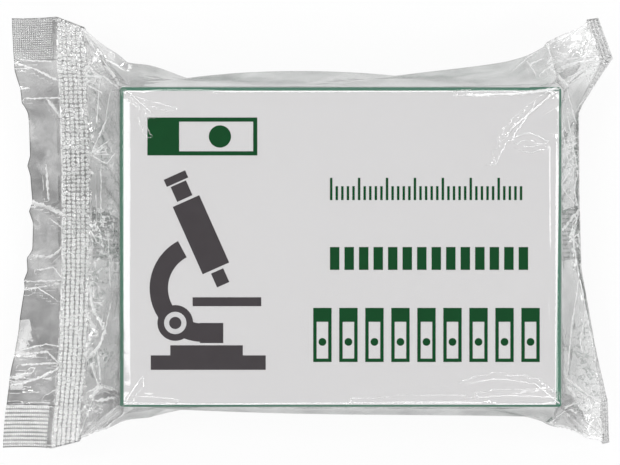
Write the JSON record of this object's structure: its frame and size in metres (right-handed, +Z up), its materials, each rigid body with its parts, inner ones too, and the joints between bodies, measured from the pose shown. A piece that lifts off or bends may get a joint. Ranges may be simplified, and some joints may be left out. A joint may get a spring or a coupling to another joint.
{
  "type": "microscope slide box",
  "caption": "Card box of microscope slides with a lift-off lid, sealed in a clear crimped film wrap; one end seal stands out and the other is folded down.",
  "frame": {"origin": "middle of the face that the pack rests on, which is the back seal under the middle of the box", "axes": "+X along the slides, from the straight end seal towards the folded one, +Y across the stack of slides, +Z up out of the printed top"},
  "size_m": [0.1132, 0.08, 0.0281],
  "materials": {
    "clear_film": "clear glossy",
    "printed_card": "coated satin",
    "plain_card": "matte"
  },
  "bodies": {
    "root": {"film_wrap": "clear_film", "carton_lid": "printed_card", "filled_tray": "plain_card"}
  },
  "joints": []
}
